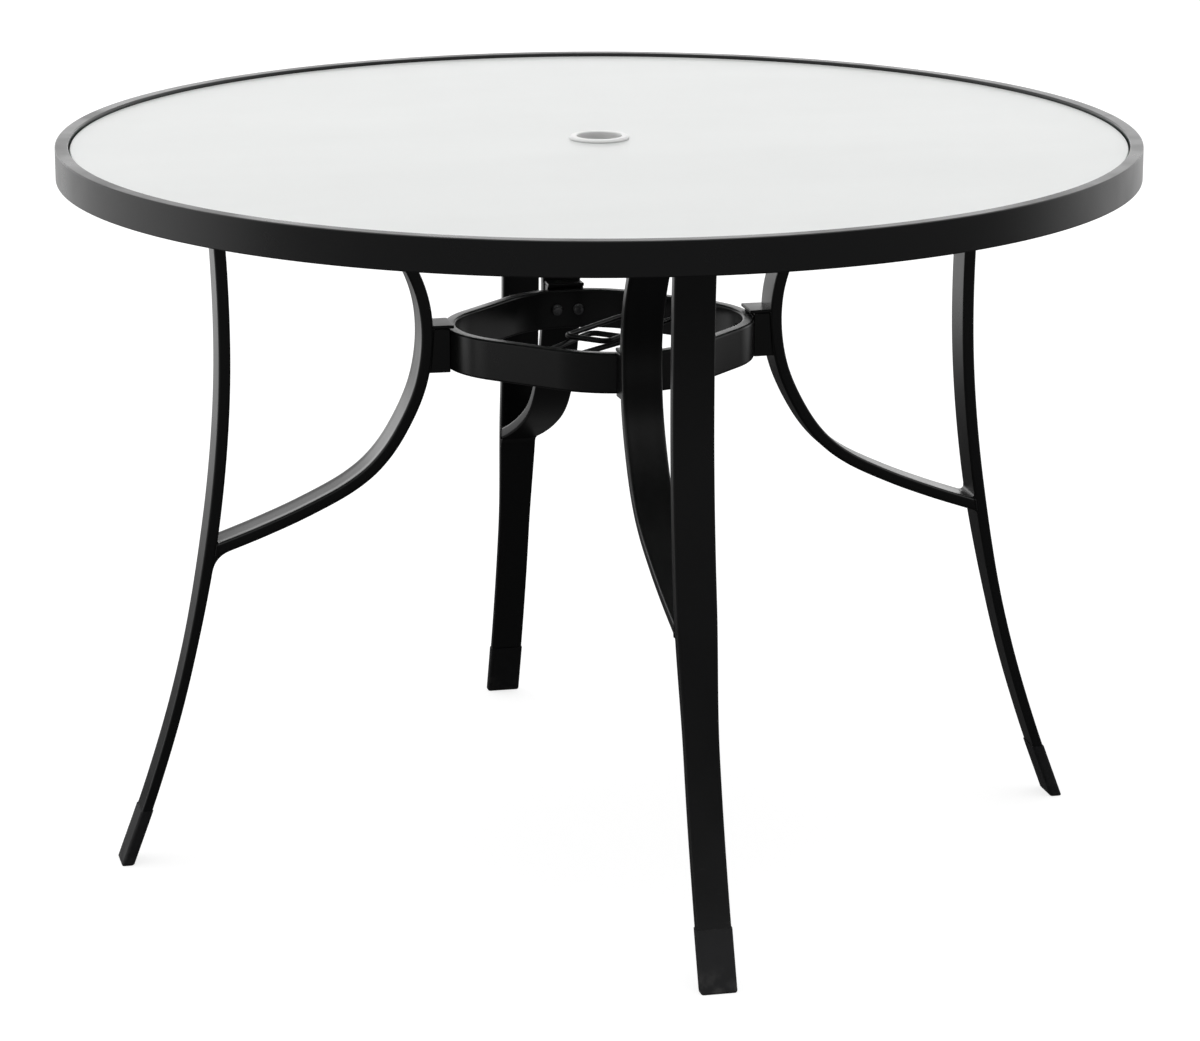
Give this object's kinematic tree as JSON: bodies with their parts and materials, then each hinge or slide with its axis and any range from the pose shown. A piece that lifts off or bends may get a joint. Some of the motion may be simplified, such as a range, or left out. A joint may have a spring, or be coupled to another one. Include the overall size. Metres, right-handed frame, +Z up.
{
  "type": "umbrella table",
  "caption": "Round glass-topped patio table with a metal rim, splayed flat-tube legs, curved braces and a hoop that steadies an umbrella pole.",
  "frame": {"origin": "on the floor under the middle of the table", "axes": "+Z up; the front leg stands on -Y, the right leg on +X, the back leg on +Y and the left leg on -X"},
  "size_m": [1.067, 1.067, 0.718],
  "materials": {
    "powder_coat": "satin",
    "pale_glass": "satin",
    "white_plastic": "satin",
    "black_plastic": "matte",
    "black_bolt": "satin",
    "clear_vinyl": "satin"
  },
  "bodies": {
    "root": {"table_rim": "powder_coat", "glass_ledge": "powder_coat", "glass_top": "pale_glass", "umbrella_ring": "white_plastic", "hoop": "powder_coat", "umbrella_loop_upper": "powder_coat", "umbrella_loop_lower": "powder_coat", "leg_front": "powder_coat", "leg_right": "powder_coat", "leg_back": "powder_coat", "leg_left": "powder_coat", "foot_cap_front": "black_plastic", "foot_cap_right": "black_plastic", "foot_cap_back": "black_plastic", "foot_cap_left": "black_plastic", "brace_front": "powder_coat", "brace_right": "powder_coat", "brace_back": "powder_coat", "brace_left": "powder_coat", "hoop_bracket_front": "powder_coat", "hoop_bracket_right": "powder_coat", "hoop_bracket_back": "powder_coat", "hoop_bracket_left": "powder_coat", "top_rail_front": "powder_coat", "top_rail_right": "powder_coat", "top_rail_back": "powder_coat", "top_rail_left": "powder_coat", "glass_bumper_front_1": "clear_vinyl", "glass_bumper_front_2": "clear_vinyl", "glass_bumper_right_1": "clear_vinyl", "glass_bumper_right_2": "clear_vinyl", "glass_bumper_back_1": "clear_vinyl", "glass_bumper_back_2": "clear_vinyl", "glass_bumper_left_1": "clear_vinyl", "glass_bumper_left_2": "clear_vinyl", "rim_bolt_front_1": "black_bolt", "rim_bolt_front_2": "black_bolt", "rim_bolt_right_1": "black_bolt", "rim_bolt_right_2": "black_bolt", "rim_bolt_back_1": "black_bolt", "rim_bolt_back_2": "black_bolt", "rim_bolt_left_1": "black_bolt", "rim_bolt_left_2": "black_bolt", "hoop_bolt_front_1": "black_bolt", "hoop_bolt_front_2": "black_bolt", "hoop_bolt_right_1": "black_bolt", "hoop_bolt_right_2": "black_bolt", "hoop_bolt_back_1": "black_bolt", "hoop_bolt_back_2": "black_bolt", "hoop_bolt_left_1": "black_bolt", "hoop_bolt_left_2": "black_bolt"}
  },
  "joints": []
}
